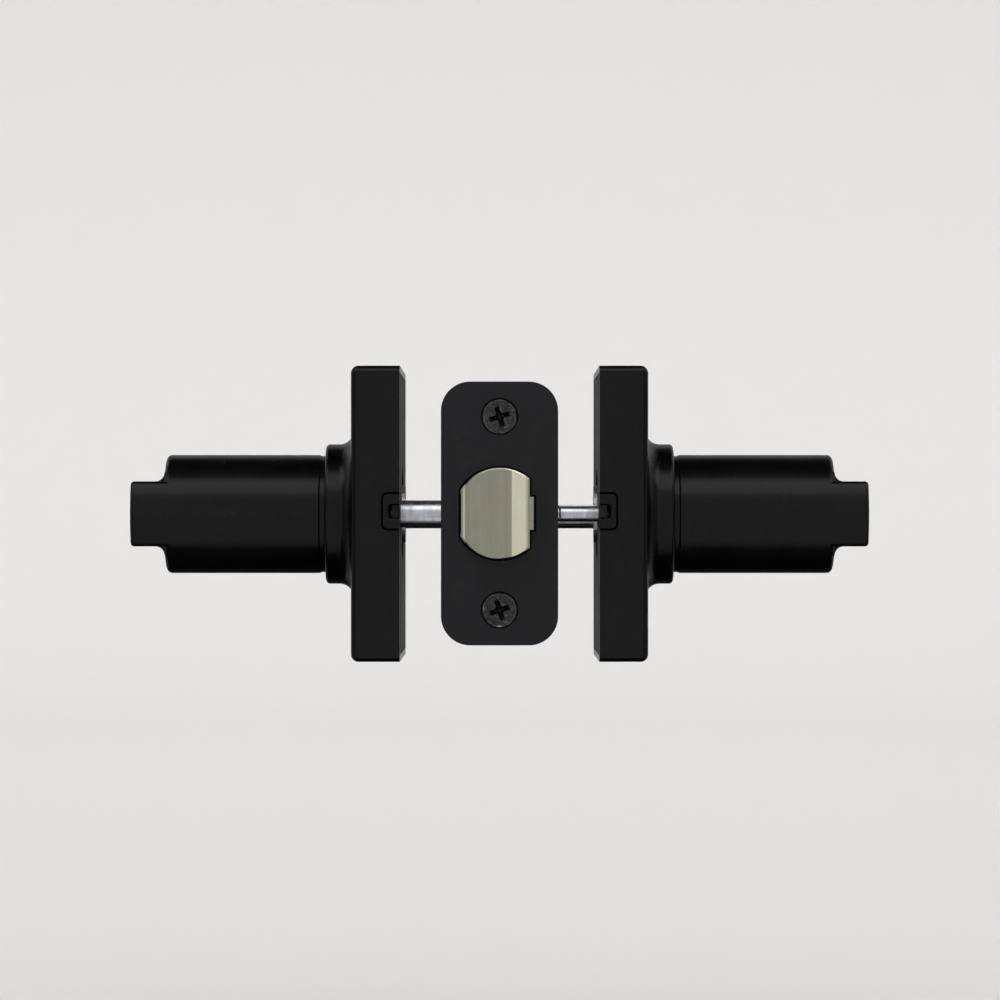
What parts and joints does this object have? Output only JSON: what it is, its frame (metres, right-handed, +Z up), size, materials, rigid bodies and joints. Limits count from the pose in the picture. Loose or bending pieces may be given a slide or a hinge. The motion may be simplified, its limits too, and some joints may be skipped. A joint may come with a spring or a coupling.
{
  "type": "door lever set with spring latch",
  "caption": "Passage door lever set: flat bar levers on round necks, square roses on both door faces, and a tubular spring latch with rounded faceplate.",
  "frame": {"origin": "on the spindle's axis, in the middle of the door's thickness", "axes": "+X out of the door's right face along the spindle, -Y towards the door's edge and the bolt, +Y along the lever bars, +Z up"},
  "size_m": [0.1676, 0.185, 0.066],
  "materials": {
    "matt_black": "matt black powder coat on die-cast zinc and pressed steel",
    "black_screw": "blackened steel, lightly worn",
    "bolt_steel": "satin nickel plated bolt with fine draw lines",
    "zinc_plate": "zinc plated sheet steel",
    "steel": "plain steel",
    "spring_steel": "oiled spring wire"
  },
  "bodies": {
    "root": {"left_rose_cover": "matt_black", "left_mounting_plate": "matt_black", "left_return_spring": "spring_steel", "left_latch_case": "zinc_plate", "right_rose_cover": "matt_black", "right_mounting_plate": "matt_black", "right_return_spring": "spring_steel", "right_latch_case": "zinc_plate", "front_post": "zinc_plate", "rear_post": "zinc_plate", "front_through_screw": "zinc_plate", "rear_through_screw": "zinc_plate", "faceplate": "matt_black", "faceplate_screw_upper": "black_screw", "faceplate_screw_lower": "black_screw", "backplate": "zinc_plate", "latch_tube": "zinc_plate", "retractor_spring": "spring_steel", "case_rivet_1": "zinc_plate", "case_rivet_2": "zinc_plate", "case_rivet_3": "zinc_plate", "case_rivet_4": "zinc_plate"},
    "left_lever": {"left_lever": "matt_black", "left_set_screw": "steel", "left_drive_sleeve": "steel", "left_retaining_ring": "spring_steel", "left_spring_cam": "steel", "spindle": "steel"},
    "right_lever": {"right_lever": "matt_black", "right_set_screw": "steel", "right_drive_sleeve": "steel", "right_retaining_ring": "spring_steel", "right_spring_cam": "steel"},
    "hub": {"latch_hub": "steel"},
    "retractor": {"retractor": "steel", "bolt_spring": "spring_steel"},
    "bolt": {"latch_bolt": "bolt_steel"}
  },
  "joints": [
    {"name": "left_lever_turn", "type": "hinge", "parent": "root", "child": "left_lever", "pos_m": [0, 0, 0], "axis": [-1, 0, 0], "range_deg": [0, 60], "stiffness_Nm_per_rad": 0.6, "springref_deg": -51.57, "deforming": ["left_return_spring"]},
    {"name": "right_lever_turn", "type": "hinge", "parent": "root", "child": "right_lever", "pos_m": [0, 0, 0], "axis": [-1, 0, 0], "range_deg": [0, 60], "stiffness_Nm_per_rad": 0.6, "springref_deg": -51.57, "deforming": ["right_return_spring"]},
    {"name": "hub_turn", "type": "hinge", "parent": "root", "child": "hub", "pos_m": [0, 0, 0], "axis": [-1, 0, 0], "range_deg": [0, 60]},
    {"name": "retractor_slide", "type": "slide", "parent": "root", "child": "retractor", "axis": [0, 1, 0], "range_m": [0, 0.0127], "stiffness_N_per_m": 300, "springref_m": -0.01, "deforming": ["retractor_spring"]},
    {"name": "bolt_push", "type": "slide", "parent": "retractor", "child": "bolt", "axis": [0, 1, 0], "range_m": [0, 0.0127], "stiffness_N_per_m": 500, "springref_m": -0.012, "deforming": ["bolt_spring"]}
  ],
  "couplings": [
    {"joint": "right_lever_turn", "follows": "left_lever_turn", "ratio": 1},
    {"joint": "hub_turn", "follows": "left_lever_turn", "ratio": 1},
    {"joint": "retractor_slide", "follows": "left_lever_turn", "m_per_rad": 0.012127}
  ]
}
